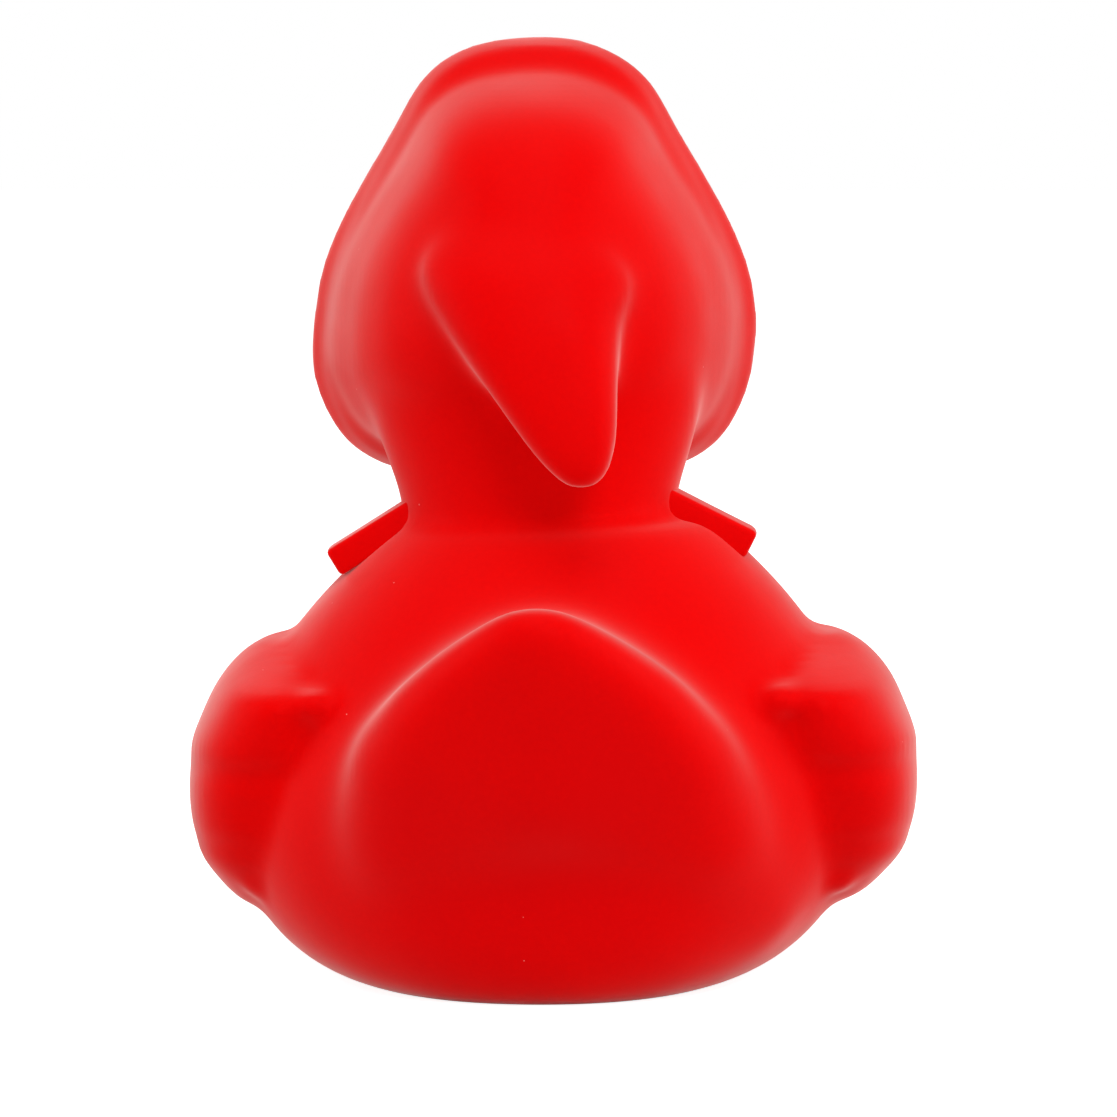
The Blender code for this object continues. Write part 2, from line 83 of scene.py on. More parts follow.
class Bench:
    """The moves that the maker repeats, each done with Blender's own operators."""

    @staticmethod
    def pick(*made: Object) -> None:
        """Selects these objects alone and makes the first of them active.

        Args:
            made: The objects to work on.
        """
        bpy.ops.object.select_all(action="DESELECT")
        for thing in made:
            thing.select_set(True)
        bpy.context.view_layer.objects.active = made[0]

    @staticmethod
    @contextmanager
    def editing(made: Object) -> Iterator[None]:
        """Opens the object in edit mode with everything selected, and closes it afterwards.

        Args:
            made: The mesh object to edit.
        """
        Bench.pick(made)
        bpy.ops.object.mode_set(mode="EDIT")
        bpy.ops.mesh.select_mode(type="VERT")
        bpy.ops.mesh.select_all(action="SELECT")
        yield
        bpy.ops.object.mode_set(mode="OBJECT")

    @staticmethod
    def named(made: Object, name: str) -> Object:
        """Gives the object and its mesh that name, and puts its place into its mesh.

        Args:
            made: The object.
            name: Its new name.

        Returns:
            The same object.
        """
        Bench.pick(made)
        bpy.ops.object.transform_apply(location=True, rotation=True, scale=True)
        made.name = made.data.name = name
        return made

    @staticmethod
    def joined(name: str, parts: Sequence[Object]) -> Object:
        """Joins the parts into one object, whose shapes may cross.

        Args:
            name: The name of the whole.
            parts: The objects, which are used up.

        Returns:
            The joined object.
        """
        Bench.pick(*parts)
        if len(parts) > 1:
            bpy.ops.object.join()
        return Bench.named(parts[0], name)

    @staticmethod
    def apply(made: Object, kind: str, **settings: object) -> None:
        """Adds a modifier with these settings and applies it.

        Args:
            made: The object that takes it.
            kind: The modifier's type.
            settings: Its settings, by their names.
        """
        tool = made.modifiers.new(kind.lower(), kind)
        for name, value in settings.items():
            setattr(tool, name, value)
        Bench.pick(made)
        bpy.ops.object.modifier_apply(modifier=tool.name)

    @staticmethod
    def hull(name: str, balls: Sequence[Ball]) -> Object:
        """Stretches the tightest skin round one or several balls.

        Args:
            name: The name of the form.
            balls: What the skin goes round.

        Returns:
            The closed form.
        """
        parts = []
        for ball in balls:
            bpy.ops.mesh.primitive_ico_sphere_add(
                subdivisions=ball.fineness, radius=1, location=ball.centre, scale=ball.radii
            )
            parts.append(bpy.context.object)
        made = Bench.joined(name, parts)
        with Bench.editing(made):
            bpy.ops.mesh.delete(type="EDGE_FACE")
            bpy.ops.mesh.select_all(action="SELECT")
            bpy.ops.mesh.convex_hull()
        return made

    @staticmethod
    def skinned(name: str, rings: Sequence[Sequence[Vector]]) -> Object:
        """Closes a skin over rings that all have as many points.

        Args:
            name: The name of the form.
            rings: The rings, from one end of the form to the other.

        Returns:
            The closed form.
        """
        bpy.ops.mesh.primitive_plane_add(size=1)
        made = Bench.named(bpy.context.object, name)
        mesh = bmesh.new()
        loops = [[mesh.verts.new(point) for point in ring] for ring in rings]
        count = len(loops[0])
        for low, high in zip(loops, loops[1:]):
            for k in range(count):
                mesh.faces.new((low[k], low[(k + 1) % count], high[(k + 1) % count], high[k]))
        mesh.faces.new(loops[0])
        mesh.faces.new(loops[-1])
        bmesh.ops.recalc_face_normals(mesh, faces=mesh.faces)
        mesh.to_mesh(made.data)
        mesh.free()
        return made

    @staticmethod
    def fused(name: str, parts: Sequence[Object], fillet: float, voxel: float, ease: int) -> Object:
        """Grows the parts into one skin, with a round fillet along each inner corner.

        Args:
            name: The name of the whole.
            parts: The closed forms, which are used up.
            fillet: The fillet's radius.
            voxel: How fine the skin's mesh is.
            ease: How many times each stage is smoothed.

        Returns:
            The fused form.
        """
        made = Bench.joined(name, parts)
        for swell in (0.0, fillet, -fillet):
            if swell:
                Bench.apply(made, "DISPLACE", strength=swell, mid_level=0)
            Bench.apply(made, "REMESH", mode="VOXEL", voxel_size=voxel)
            Bench.apply(made, "SMOOTH", iterations=ease)
        return made

    @staticmethod
    def smooth(made: Object, degrees: float) -> None:
        """Shades the object smooth, apart from edges sharper than this."""
        Bench.pick(made)
        bpy.ops.object.shade_smooth_by_angle(angle=math.radians(degrees))


class Loft:
    """A closed form that is drawn out ring by ring from a first, filled ring."""

    def __init__(self, name: str, outline: Sequence[Vector], centre: Point) -> None:
        """Lays the first ring.

        Args:
            name: The name of the form.
            outline: The first ring's points.
            centre: What the ring is scaled about.
        """
        bpy.ops.mesh.primitive_circle_add(vertices=len(outline), radius=1, fill_type="NGON")
        self.made = Bench.named(bpy.context.object, name)
        self.centre = Vector(centre)
        self.size = Vector((1, 1, 1))
        for vert, place in zip(self.made.data.vertices, outline):
            vert.co = place
        Bench.pick(self.made)
        bpy.ops.object.mode_set(mode="EDIT")
        bpy.ops.mesh.select_mode(type="FACE")
        bpy.ops.mesh.select_all(action="SELECT")

    def grow(self, centre: Point, size: Point) -> None:
        """Draws out the next ring.

        Args:
            centre: Its centre.
            size: Its size along each axis, as shares of the first ring's.
        """
        step = Vector(centre) - self.centre
        share = [new / old for new, old in zip(size, self.size)]
        bpy.ops.mesh.extrude_region_move(TRANSFORM_OT_translate={"value": step})
        bpy.ops.transform.resize(value=share, center_override=centre)
        self.centre, self.size = Vector(centre), Vector(size)

    def closed(self) -> Object:
        """Ends the form with its last ring filled and its faces turned outwards.

        Returns:
            The closed form.
        """
        bpy.ops.mesh.select_all(action="SELECT")
        bpy.ops.mesh.normals_make_consistent(inside=False)
        bpy.ops.object.mode_set(mode="OBJECT")
        return self.made


def lerp(start: float, end: float, t: float) -> float:
    """The value that lies a share t of the way from start to end."""
    return start + (end - start) * t


def oval(points: int, half_width: float, half_depth: float, square: float) -> list[Vector]:
    """Draws a level oval round the origin.

    Args:
        points: How many points it has.
        half_width: Its reach along x.
        half_depth: Its reach along y.
        square: 2 for an ellipse, and more for a squarer one.

    Returns:
        The oval's points.
    """
    ring = []
    for i in range(points):
        c, s = math.cos(math.tau * i / points), math.sin(math.tau * i / points)
        x = math.copysign(abs(c) ** (2 / square), c) * half_width
        y = math.copysign(abs(s) ** (2 / square), s) * half_depth
        ring.append(Vector((x, y, 0)))
    return ring


def spline(points: Sequence[Sequence[float]], steps: int, closed: bool = False) -> list[Vector]:
    """Draws a smooth curve through the points.

    Args:
        points: The points.
        steps: How many steps there are between neighbours.
        closed: Whether the curve returns to its start.

    Returns:
        The curve's points.
    """
    count = len(points)
    curve = []
    for i in range(count if closed else count - 1):
        at = [(i + k) % count if closed else min(max(i + k, 0), count - 1) for k in (-1, 0, 1, 2)]
        before, start, end, after = (Vector(points[k]) for k in at)
        for s in range(steps):
            t = s / steps
            bend = (end - before) * t
            bend += (2 * before - 5 * start + 4 * end - after) * t**2
            bend += (3 * start - before - 3 * end + after) * t**3
            curve.append(start + 0.5 * bend)
    if not closed:
        curve.append(Vector(points[-1]))
    return curve


def stacked(
    name: str, rings: Sequence[tuple[Point, float, float]], points: int, square: float
) -> Object:
    """Draws a form out through level ovals.

    Args:
        name: The name of the form.
        rings: Each oval's centre, half width and half depth, from the bottom up.
        points: How many points an oval has.
        square: How square the ovals are, as for oval.

    Returns:
        The closed form.
    """
    first, wide, deep = rings[0]
    outline = [point + Vector(first) for point in oval(points, wide, deep, square)]
    loft = Loft(name, outline, first)
    for centre, w, d in rings[1:]:
        loft.grow(centre, (w / wide, d / deep, 1))
    return loft.closed()


# ---- finishes


class Nodes:
    """A short hand for wiring a node tree."""

    mix_inputs: tuple[int, int, int] = (0, 6, 7)
    mix_output: int = 2

    def __init__(self, tree: bpy.types.NodeTree) -> None:
        """Takes the tree that is wired."""
        self.tree = tree

    def add(self, kind: str, settings: dict | None = None, **inputs: object) -> bpy.types.Node:
        """Adds a node.

        Args:
            kind: The node's type.
            settings: Its settings, by name.
            inputs: Values or sockets for its inputs, by name, with _ for a space.

        Returns:
            The new node.
        """
        node = self.tree.nodes.new(kind)
        for name, value in (settings or {}).items():
            setattr(node, name, value)
        for name, value in inputs.items():
            self.fill(node.inputs[name.replace("_", " ")], value)
        return node

    def fill(self, socket: Socket, value: object) -> None:
        """Links an input to another socket, or sets it to a plain value.

        Args:
            socket: The input.
            value: The socket or the value that goes in.
        """
        if isinstance(value, Socket):
            self.tree.links.new(value, socket)
        else:
            socket.default_value = value

    def math(self, operation: str, *values: object) -> Socket:
        """Adds a Math node.

        Args:
            operation: What it works out.
            values: The values or sockets that go in.

        Returns:
            Its output.
        """
        node = self.add("ShaderNodeMath", {"operation": operation})
        for socket, value in zip(node.inputs, values):
            self.fill(socket, value)
        return node.outputs[0]

    def blend(self, share: object, first: object, second: object) -> Socket:
        """Adds a mix of two colours.

        Args:
            share: How much of the second colour there is.
            first: The first colour.
            second: The second colour.

        Returns:
            The mixed colour.
        """
        node = self.add("ShaderNodeMix", {"data_type": "RGBA"})
        for index, value in zip(self.mix_inputs, (share, first, second)):
            self.fill(node.inputs[index], value)
        return node.outputs[self.mix_output]

    def noise(self, scale: object, detail: float, roughness: float = 0.5) -> Socket:
        """Adds a noise over the object's own space, and returns its value."""
        inputs = {"Scale": scale, "Detail": detail, "Roughness": roughness}
        return self.add("ShaderNodeTexNoise", Vector=self.own_space(), **inputs).outputs["Fac"]

    def own_space(self) -> Socket:
        """The place on the object, in the object's own space."""
        return self.add("ShaderNodeTexCoord").outputs["Object"]


class Effect:
    """A shader node group with named inputs and outputs that every finish can use."""

    name: str = "effect"
    inputs: tuple[tuple[str, str, object], ...] = ()
    outputs: tuple[tuple[str, str], ...] = ()

    def group(self) -> bpy.types.NodeTree:
        """Builds the group, or takes the one that is there.

        Returns:
            The group.
        """
        made = bpy.data.node_groups.get(self.name)
        if made:
            return made
        made = bpy.data.node_groups.new(self.name, "ShaderNodeTree")
        for label, kind, value in self.inputs:
            socket = made.interface.new_socket(label, in_out="INPUT", socket_type=kind)
            socket.default_value = value
        for label, kind in self.outputs:
            made.interface.new_socket(label, in_out="OUTPUT", socket_type=kind)
        source = made.nodes.new("NodeGroupInput")
        result = made.nodes.new("NodeGroupOutput")
        self.wire(Nodes(made), source.outputs, result.inputs)
        return made

    def wire(self, nodes: Nodes, source: object, result: object) -> None:
        """Wires the group's nodes from its inputs, the source, to its outputs, the result."""
        raise NotImplementedError

    def place(self, nodes: Nodes, **inputs: object) -> bpy.types.Node:
        """Puts the group into a material, with values or sockets for its inputs."""
        return nodes.add("ShaderNodeGroup", {"node_tree": self.group()}, **inputs)


class MouldGrain(Effect):
    """The fine grain that the mould leaves on vinyl, with a slow swell under it."""

    name = "mould_grain"
    inputs = (
        ("Grain Scale", FLOAT, 2600.0),
        ("Swell Scale", FLOAT, 120.0),
        ("Swell Share", FLOAT, 0.5),
    )
    outputs = (("Height", FLOAT),)
    grain_detail: float = 3.0
    grain_roughness: float = 0.6
    swell_detail: float = 2.0

    def wire(self, nodes: Nodes, source: object, result: object) -> None:
        """Adds the swell to the grain.

        Args:
            nodes: The group's nodes.
            source: Its inputs, by name.
            result: Its outputs, by name.
        """
        grain = nodes.noise(source["Grain Scale"], self.grain_detail, self.grain_roughness)
        swell = nodes.noise(source["Swell Scale"], self.swell_detail)
        share = nodes.math("MULTIPLY", swell, source["Swell Share"])
        nodes.fill(result["Height"], nodes.math("ADD", grain, share))


class ToneDrift(Effect):
    """A slow drift between two shades of one colour, as pigment gives in vinyl."""

    name = "tone_drift"
    inputs = (
        ("Light Shade", COLOUR, (1, 1, 1, 1)),
        ("Deep Shade", COLOUR, (0, 0, 0, 1)),
        ("Drift Scale", FLOAT, 45.0),
        ("Speckle Scale", FLOAT, 1800.0),
    )
    outputs = (("Colour", COLOUR),)
    drift_detail: float = 2.0
    drift_share: float = 0.7
    speckle_detail: float = 1.0
    speckle_share: float = 0.3
    band: tuple[float, float] = (0.35, 0.65)

    def wire(self, nodes: Nodes, source: object, result: object) -> None:
        """Mixes the two shades by a slow noise and a faint speckle.

        Args:
            nodes: The group's nodes.
            source: Its inputs, by name.
            result: Its outputs, by name.
        """
        drift = nodes.noise(source["Drift Scale"], self.drift_detail)
        speckle = nodes.noise(source["Speckle Scale"], self.speckle_detail)
        slow = nodes.math("MULTIPLY", drift, self.drift_share)
        faint = nodes.math("MULTIPLY", speckle, self.speckle_share)
        both, (low, high) = nodes.math("ADD", slow, faint), self.band
        share = nodes.add("ShaderNodeMapRange", Value=both, From_Min=low, From_Max=high)
        shade = nodes.blend(share.outputs[0], source["Light Shade"], source["Deep Shade"])
        nodes.fill(result["Colour"], shade)


class Dust(Effect):
    """Sparse pale specks of lint, each a fraction of a millimetre."""

    name = "dust"
    inputs = (
        ("Speck Scale", FLOAT, 420.0),
        ("Speck Size", FLOAT, 0.04),
        ("Rarity", FLOAT, 0.62),
    )
    outputs = (("Mask", FLOAT),)

    def wire(self, nodes: Nodes, source: object, result: object) -> None:
        """Keeps the middles of a few cells of a cell pattern.

        Args:
            nodes: The group's nodes.
            source: Its inputs, by name.
            result: Its outputs, by name.
        """
        place, scale = nodes.own_space(), source["Speck Scale"]
        cells = nodes.add("ShaderNodeTexVoronoi", Vector=place, Scale=scale)
        near = nodes.math("LESS_THAN", cells.outputs["Distance"], source["Speck Size"])
        tint = nodes.add("ShaderNodeSeparateColor", Color=cells.outputs["Color"])
        chosen = nodes.math("GREATER_THAN", tint.outputs[0], source["Rarity"])
        nodes.fill(result["Mask"], nodes.math("MULTIPLY", near, chosen))


class SheenBreak(Effect):
    """A roughness that wanders a little, so that a reflection is never quite even."""

    name = "sheen_break"
    inputs = (
        ("Smooth", FLOAT, 0.4),
        ("Rough", FLOAT, 0.6),
        ("Patch Scale", FLOAT, 160.0),
    )
    outputs = (("Roughness", FLOAT),)
    patch_detail: float = 4.0
    band: tuple[float, float] = (0.3, 0.7)

    def wire(self, nodes: Nodes, source: object, result: object) -> None:
        """Maps a patchy noise between the two roughnesses.

        Args:
            nodes: The group's nodes.
            source: Its inputs, by name.
            result: Its outputs, by name.
        """
        patch = nodes.noise(source["Patch Scale"], self.patch_detail)
        ends = {"From_Min": self.band[0], "From_Max": self.band[1]}
        ends |= {"To_Min": source["Smooth"], "To_Max": source["Rough"]}
        spread = nodes.add("ShaderNodeMapRange", Value=patch, **ends)
        nodes.fill(result["Roughness"], spread.outputs[0])


@dataclass(frozen=True)
class Vinyl:
    """A finish of soft vinyl or of the paint on it."""

    name: str
    light: Colour
    deep: Colour
    smooth: float = 0.42
    rough: float = 0.58
    specular: float = 0.02
    sheen: float = 0.60
    sheen_roughness: float = 0.32
    sheen_tint: Colour = (1.0, 0.86, 0.80)
    grain_scale: float = 2600.0
    grain_depth: float = 0.00002
    bump: float = 0.25
    dust: Colour = (0.88, 0.20, 0.18)
    dust_rarity: float = 0.92

    def material(self) -> bpy.types.Material:
        """Builds the material, or returns the one that is there.

        Returns:
            The material.
        """
        made = bpy.data.materials.get(self.name)
        if made:
            return made
        made = bpy.data.materials.new(self.name)
        made.use_nodes = True
        nodes = Nodes(made.node_tree)
        shader = made.node_tree.nodes["Principled BSDF"]
        tone = ToneDrift().place(nodes, Light_Shade=(*self.light, 1), Deep_Shade=(*self.deep, 1))
        mask = Dust().place(nodes, Rarity=self.dust_rarity)
        colour = nodes.blend(mask.outputs["Mask"], tone.outputs["Colour"], (*self.dust, 1))
        rough = SheenBreak().place(nodes, Smooth=self.smooth, Rough=self.rough)
        grain = MouldGrain().place(nodes, Grain_Scale=self.grain_scale)
        height = grain.outputs["Height"]
        settings = {"Strength": self.bump, "Distance": self.grain_depth}
        bump = nodes.add("ShaderNodeBump", Height=height, **settings)
        for label, value in (
            ("Base Color", colour),
            ("Roughness", rough.outputs["Roughness"]),
            ("Normal", bump.outputs["Normal"]),
            ("Specular IOR Level", self.specular),
            ("Sheen Weight", self.sheen),
            ("Sheen Roughness", self.sheen_roughness),
            ("Sheen Tint", (*self.sheen_tint, 1)),
        ):
            nodes.fill(shader.inputs[label], value)
        made.diffuse_color = (*self.light, 1)
        return made


class Finish(Enum):
    """The finishes on the duck."""

    RED_VINYL = Vinyl("red_vinyl_skin", light=(0.84, 0.0, 0.0), deep=(0.78, 0.0, 0.0008))
    YELLOW_PAINT = Vinyl(
        "yellow_face_paint", (0.83, 0.55, 0.03), (0.78, 0.47, 0.02), dust=(0.9, 0.8, 0.5)
    )
    ORANGE_PAINT = Vinyl(
        "orange_bill_paint", (0.85, 0.21, 0.01), (0.78, 0.16, 0.008), dust=(0.9, 0.6, 0.4)
    )
    BLACK_PAINT = Vinyl(
        "black_eye_paint", light=(0.012, 0.011, 0.011), deep=(0.006, 0.006, 0.007),
        smooth=0.14, rough=0.22, specular=0.5, sheen=0.0, bump=0.05, dust=(0.2, 0.2, 0.2),
    )

    def dress(self, made: Object) -> None:
        """Gives the object this finish alone."""
        made.data.materials.clear()
        made.data.materials.append(self.value.material())


# ---- the body


class Side(Enum):
    """Which of the duck's own sides a part is on."""

    LEFT = 1
    RIGHT = -1


@dataclass
class Torso:
    """The belly and the shoulders, which lean a little to the duck's right."""

    base: Point = (0.0171, 0.0230, 0.0230)
    belly: Point = (0.0352, 0.0383, 0.0312)
    shoulder: Point = (0.0165, 0.0165, 0.0121)
    belly_height: float = 0.0190
    shoulder_height: float = 0.0505
    roundness: float = 2.03
    fall: float = 2.1
    back_fall: float = 2.0
    lean: float = -0.035
    shift: float = 0.0010
    square: float = 2.2
    belly_rings: int = 20
    crowding: float = 1.6
    shoulder_rings: int = 28
    ring_points: int = 96

    def middle(self, height: float) -> float:
        """Where the leaning body's middle is at that height."""
        return self.shift + self.lean * height

    def ring(self, height: float, reach: Sequence[float]) -> tuple[Point, float, float]:
        """A ring's centre, half width and half depth, from its reach aside, forward and back."""
        side, front, back = reach
        return (self.middle(height), (back - front) / 2, height), side, (front + back) / 2

    def build(self) -> Object:
        """Draws the rings from the base over the belly to the shoulders.

        Returns:
            The closed torso.
        """
        rings = []
        for i in range(self.belly_rings):
            t = (i / self.belly_rings) ** self.crowding
            swell = (1 - (1 - t) ** self.roundness) ** (1 / self.roundness)
            reach = [lerp(a, b, swell) for a, b in zip(self.base, self.belly)]
            rings.append(self.ring(t * self.belly_height, reach))
        falls = (self.fall, self.fall, self.back_fall)
        for i in range(self.shoulder_rings + 1):
            t = i / self.shoulder_rings
            reach = [lerp(a, b, t**fall) for a, b, fall in zip(self.belly, self.shoulder, falls)]
            rings.append(self.ring(lerp(self.belly_height, self.shoulder_height, t), reach))
        return stacked("torso", rings, self.ring_points, self.square)


@dataclass
class Tail:
    """The bell-shaped face behind, from its blunt tip down both flanks to the rump."""

    middle: float = 0.0008
    back: float = 0.0418
    height: float = 0.0449
    tip_radius: float = 0.0030
    tip_half_width: float = 0.0054
    root: Ball = Ball((0.0, 0.0130, 0.0300), (0.0140, 0.0080, 0.0100))
    panel: Ball = Ball((0.0004, 0.0278, 0.0280), (0.0110, 0.0098, 0.0120))
    left_rim: Rows = (
        # out from the middle, forward from the tip and down from it; then the radii
        (0.0078, 0.0034, 0.0051, 0.0037, 0.0037, 0.0037),
        (0.0114, 0.0064, 0.0099, 0.0048, 0.0048, 0.0048),
        (0.0135, 0.0104, 0.0152, 0.0064, 0.0064, 0.0064),
        (0.0132, 0.0166, 0.0218, 0.0090, 0.0098, 0.0094),
        (0.0124, 0.0238, 0.0290, 0.0120, 0.0122, 0.0110),
    )
    right_rim: Rows = (
        (0.0078, 0.0034, 0.0047, 0.0037, 0.0037, 0.0037),
        (0.0120, 0.0064, 0.0092, 0.0048, 0.0048, 0.0048),
        (0.0148, 0.0104, 0.0147, 0.0063, 0.0063, 0.0063),
        (0.0164, 0.0170, 0.0217, 0.0086, 0.0094, 0.0092),
        (0.0176, 0.0262, 0.0290, 0.0118, 0.0120, 0.0110),
    )

    def build(self) -> Object:
        """Stretches the tail's skin over its tip, its root and the balls along its rim.

        Returns:
            The closed tail.
        """
        back, top = self.back - self.tip_radius, self.height - self.tip_radius
        radii = (self.tip_half_width, self.tip_radius, self.tip_radius)
        balls = [Ball((self.middle, back, top), radii), self.root, self.panel]
        for side, rim in ((Side.LEFT, self.left_rim), (Side.RIGHT, self.right_rim)):
            for x, y, z, *radii in rim:
                place = (self.middle + side.value * x, back - y, top - z)
                balls.append(Ball(place, tuple(radii)))
        return Bench.hull("tail", balls)


@dataclass
class Wing:
    """A wing: a smooth lobe that ends bluntly behind, with three feathers that end there."""

    side: Side
    reach: float
    rise: float
    foot: float
    middle: float = 0.0235
    root: float = 0.0240
    front: float = 0.0198
    fold: float = 0.0017
    sections: Rows = (
        # height from the wing's middle, how far in from the reach, place of the blunt end,
        # squareness, and how far the end is swept forward to the outside
        (-0.0168, 0.0092, 0.0030, 2.4, 0.00),
        (-0.0155, 0.0064, 0.0066, 2.5, 0.00),
        (-0.0140, 0.0045, 0.0094, 2.5, 0.00),
        (-0.0109, 0.0021, 0.0130, 2.5, 0.00),
        (-0.0092, 0.0012, 0.0145, 2.5, 0.02),
        (-0.0075, 0.0008, 0.0155, 2.4, 0.04),
        (-0.0058, 0.0004, 0.0166, 2.5, 0.06),
        (-0.0030, 0.0002, 0.0176, 2.6, 0.08),
        (-0.0011, 0.0002, 0.0184, 2.5, 0.12),
        (0.0007, 0.0003, 0.0184, 2.3, 0.16),
        (0.0024, 0.0003, 0.0196, 2.5, 0.24),
        (0.0041, 0.0009, 0.0201, 2.5, 0.34),
        (0.0074, 0.0023, 0.0206, 2.4, 0.50),
        (0.0091, 0.0033, 0.0200, 2.3, 0.60),
        (0.0106, 0.0045, 0.0156, 2.2, 0.60),
        (0.0122, 0.0062, 0.0094, 2.2, 0.50),
        (0.0136, 0.0086, 0.0040, 2.3, 0.30),
    )
    feathers: tuple[tuple[str, Point, float], ...] = (
        ("upper_feather", (0.0248, 0.0192, 0.0318), 0.7),
        ("middle_feather", (0.0300, 0.0152, 0.0214), 1.6),
        ("lower_feather", (0.0314, 0.0108, 0.0138), 1.7),
    )
    # a feather's root: out, back, and down from its tip; then its radii
    feather_root: Point = (0.0310, 0.0, 0.0010)
    root_radii: Point = (0.0050, 0.0080, 0.0040)
    tip_radius: float = 0.0024
    front_span: tuple[float, float] = (0.15, 0.85)
    section_steps: int = 4
    ring_points: int = 64

    def lobe(self) -> Object:
        """Draws the wing's lobe in level rings, each blunt behind and long in front.

        Returns:
            The closed lobe.
        """
        rings = []
        low, high = self.sections[0][0], self.sections[-1][0]
        for up, inset, end, square, sweep in spline(self.sections, self.section_steps):
            tuck = (self.reach - self.foot) / self.fold if up < 0 else 1.0
            half = (self.reach - inset * tuck - self.root) / 2
            bulge = math.sin(math.pi * lerp(*self.front_span, (up - low) / (high - low)))
            centre = Vector((self.side.value * (self.root + half), 0, self.middle + self.rise + up))
            ring = []
            for x, y, _ in oval(self.ring_points, 1.0, 1.0, square):
                back = y * (end if y > 0 else self.front * bulge)
                back -= sweep * half * self.side.value * x
                ring.append(centre + Vector((x * half, back, 0)))
            rings.append(ring)
        return Bench.skinned(f"{self.side.name.lower()}_wing_lobe", rings)

    def feather(self, name: str, tip: Point, tall: float) -> Object:
        """Stretches one feather from inside the lobe to its rounded tip.

        Args:
            name: The feather's name.
            tip: The centre of its tip, on the duck's left side.
            tall: How tall the tip is, against its width.

        Returns:
            The closed feather.
        """
        x, y, z = tip
        radius = self.tip_radius
        out, back, down = self.feather_root
        root = Ball((self.side.value * out, back, z + self.rise - down), self.root_radii)
        end = Ball((self.side.value * x, y, z + self.rise), (radius, radius, radius * tall))
        return Bench.hull(f"{self.side.name.lower()}_{name}", [root, end])

    def build(self) -> list[Object]:
        """Builds the lobe and the feathers, four closed forms that cross."""
        return [self.lobe(), *[self.feather(*feather) for feather in self.feathers]]


# ---- the head


@dataclass
class Hood:
    """The hood: a rolled rim round the opening, a valley behind it, and the dome of its back."""

    shift: float = 0.0021
    top: float = 0.1036
    apex: float = -0.0011
    half_width: float = 0.0255
    widest: float = 0.0722
    bottom: float = 0.0533
    centre: float = 0.0746
    jowl: float = 0.0007
    upper: Rows = (
        # inset from the side, drop from the top
        (0.0184, 0.0010),
        (0.0128, 0.0045),
        (0.0088, 0.0111),
        (0.0041, 0.0191),
        (0.0011, 0.0257),
    )
    lower: Rows = (
        # inset from the side, drop from the widest place
        (0.0003, 0.0060),
        (0.0018, 0.0110),
        (0.0051, 0.0156),
        (0.0118, 0.0184),
    )
    bow: float = 0.0025
    stations: Rows = (
        # place along y, inset at the sides, inset at the top
        (-0.0210, 0.0022, 0.0022),
        (-0.0202, 0.0008, 0.0008),
        (-0.0192, 0.0000, 0.0000),
        (-0.0180, 0.0005, 0.0005),
        (-0.0166, 0.0013, 0.0009),
        (-0.0152, 0.0019, 0.0012),
        (-0.0140, 0.0022, 0.0014),
        (-0.0131, 0.0024, 0.0019),
        (-0.0123, 0.0026, 0.0033),
        (-0.0115, 0.0028, 0.0040),
        (-0.0100, 0.0031, 0.0043),
        (-0.0070, 0.0038, 0.0051),
        (-0.0030, 0.0050, 0.0062),
        (0.0020, 0.0066, 0.0080),
        (0.0060, 0.0084, 0.0101),
        (0.0095, 0.0106, 0.0129),
        (0.0125, 0.0140, 0.0165),
        (0.0150, 0.0178, 0.0205),
        (0.0168, 0.0213, 0.0241),
        (0.0176, 0.0232, 0.0262),
    )
    mouth: Rows = ((-0.0250, 0.0032, 0.0032), (-0.0160, 0.0052, 0.0052))
    curve_steps: int = 6
    station_steps: int = 4

    def outline(self) -> list[Vector]:
        """Draws the rim as it is seen from behind, with the fuller jowl on the duck's left.

        Returns:
            The rim's points.
        """
        half = [(self.half_width - inset, self.top - drop) for inset, drop in self.upper]
        half.append((self.half_width, self.widest))
        left, right = (
            half + [(reach - inset, self.widest - drop) for inset, drop in self.lower]
            for reach in (self.half_width + self.jowl, self.half_width)
        )
        mirrored = [(-x, z) for x, z in reversed(right)]
        points = [(self.apex, self.top), *left, (0.0, self.bottom), *mirrored]
        return spline([(x, 0, z) for x, z in points], self.curve_steps, closed=True)

    def lofted(self, name: str, stations: Sequence[Sequence[float]]) -> Object:
        """Draws the outline out from front to back.

        Args:
            name: The name of the form.
            stations: Each ring's place along y, and its insets at the sides and at the top.

        Returns:
            The closed form.
        """
        half_height = (self.top - self.bottom) / 2
        rise = self.top - self.centre
        rings = [(y, 1 - side / self.half_width, 1 - top / rise) for y, side, top in stations]
        y, wide, tall = rings[0]
        rim = [(point.x, point.z) for point in self.outline()]
        first = [Vector((x * wide, y, self.centre + (z - self.centre) * tall)) for x, z in rim]
        loft = Loft(name, first, (0, y, self.centre))
        for y, w, t in rings[1:]:
            loft.grow((0, y, self.centre), (w / wide, 1, t / tall))
        made = loft.closed()
        for vert in made.data.vertices:
            vert.co.y += self.bow * ((vert.co.z - self.centre) / half_height) ** 2
        return made

    def build(self) -> Object:
        """Builds the hood's shell and cuts its opening.

        Returns:
            The hood with its opening.
        """
        shell = self.lofted("hood", spline(self.stations, self.station_steps))
        tool = self.lofted("opening", self.mouth)
        Bench.apply(shell, "BOOLEAN", operation="DIFFERENCE", solver="EXACT", object=tool)
        bpy.data.objects.remove(tool, do_unlink=True)
        return shell


